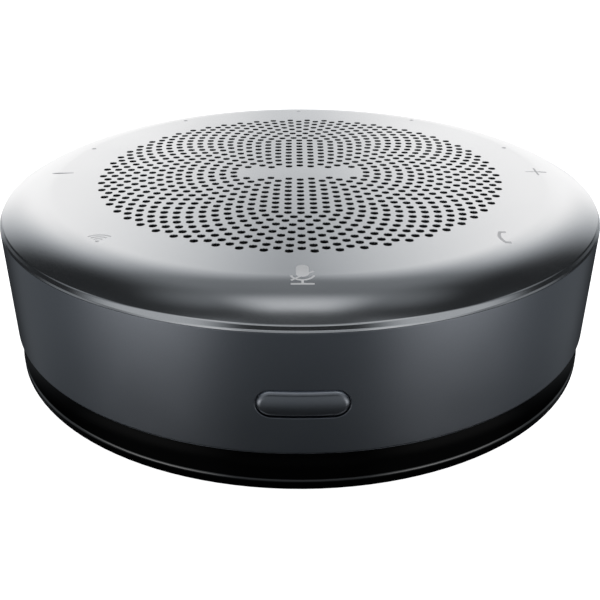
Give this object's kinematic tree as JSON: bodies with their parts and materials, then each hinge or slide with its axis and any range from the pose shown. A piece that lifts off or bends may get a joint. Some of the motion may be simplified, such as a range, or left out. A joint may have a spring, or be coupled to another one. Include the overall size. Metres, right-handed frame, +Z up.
{
  "type": "conference speakerphone",
  "caption": "Low round speakerphone with a perforated metal cover, touch icons, a tapered sleeve with a front push button, and a flared black base.",
  "frame": {"origin": "on the table, at the centre under the housing", "axes": "+Z up; the push button faces -Y and the plug socket +Y"},
  "size_m": [0.128, 0.1283, 0.037],
  "materials": {
    "satin_silver": "bead blasted and clear anodised, with a polished rim",
    "slate_metal": "satin, slate grey anodised",
    "button_metal": "satin, slate grey anodised, rounded edge",
    "gloss_black": "glossy black moulding",
    "rubber_black": "soft matt rubber",
    "print_grey": "flat grey filled marking",
    "light_pipe": "milky light pipe",
    "acoustic_black": "fine black acoustic cloth",
    "screw_steel": "zinc plated steel",
    "frame_plastic": "dark grey moulding",
    "board_green": "green solder mask on glass board",
    "foam_black": "black foam",
    "led_white": "white light emitting diode body",
    "mic_gold": "gold plated can",
    "pressed_steel": "black painted pressed steel",
    "zinc_steel": "zinc plated steel",
    "ferrite": "sintered ferrite",
    "paper_cone": "pressed paper pulp",
    "cap_black": "doped cloth",
    "copper_coil": "enamelled copper winding",
    "roll_rubber": "butyl rubber",
    "spider_cloth": "resin dipped cloth",
    "fibre_board": "fibre board",
    "chip_black": "moulded epoxy",
    "module_blue": "blue solder mask",
    "can_tin": "tinned steel",
    "plug_white": "natural nylon",
    "socket_steel": "nickel plated steel",
    "cell_foil": "laminated foil pouch",
    "lead_red": "silicone insulation",
    "lead_black": "silicone insulation",
    "film_amber": "polyimide film",
    "plunger_ivory": "acetal"
  },
  "bodies": {
    "housing": {"top_cover": "satin_silver", "icon_inlays": "print_grey", "level_dots": "light_pipe", "acoustic_cloth": "acoustic_black", "side_sleeve": "slate_metal", "button_switch": "chip_black", "button_board": "board_green", "base_shell": "gloss_black", "foot_ring": "rubber_black", "base_screws": "screw_steel", "inner_frame": "frame_plastic", "frame_screws": "screw_steel", "touch_board": "board_green", "touch_pads": "foam_black", "level_leds": "led_white", "microphone_boots": "rubber_black", "microphone_capsules": "mic_gold", "speaker_basket": "pressed_steel", "speaker_gasket": "foam_black", "speaker_screws": "screw_steel", "speaker_terminal": "fibre_board", "magnet_top_plate": "zinc_steel", "magnet_ring": "ferrite", "magnet_yoke": "zinc_steel", "cone_surround": "roll_rubber", "coil_spider": "spider_cloth", "main_board": "board_green", "board_screws": "screw_steel", "audio_processor": "chip_black", "wireless_module": "module_blue", "shield_can": "can_tin", "board_connectors": "plug_white", "usb_socket": "socket_steel", "battery_pack": "cell_foil", "battery_pad": "foam_black", "battery_leads": "lead_red", "speaker_leads": "lead_black", "touch_flex": "film_amber", "button_flex": "film_amber"},
    "button": {"power_button": "button_metal", "switch_plunger": "plunger_ivory"},
    "cone": {"speaker_cone": "paper_cone", "dust_cap": "cap_black", "voice_coil": "copper_coil"}
  },
  "joints": [
    {"name": "power_button_press", "type": "slide", "parent": "housing", "child": "button", "axis": [0, 1, 0], "range_m": [0, 0.0005], "stiffness_N_per_m": 1500},
    {"name": "cone_excursion", "type": "slide", "parent": "housing", "child": "cone", "axis": [0, 0, 1], "range_m": [-0.0015, 0.0015], "stiffness_N_per_m": 1500, "deforming": ["cone_surround", "coil_spider"]}
  ]
}
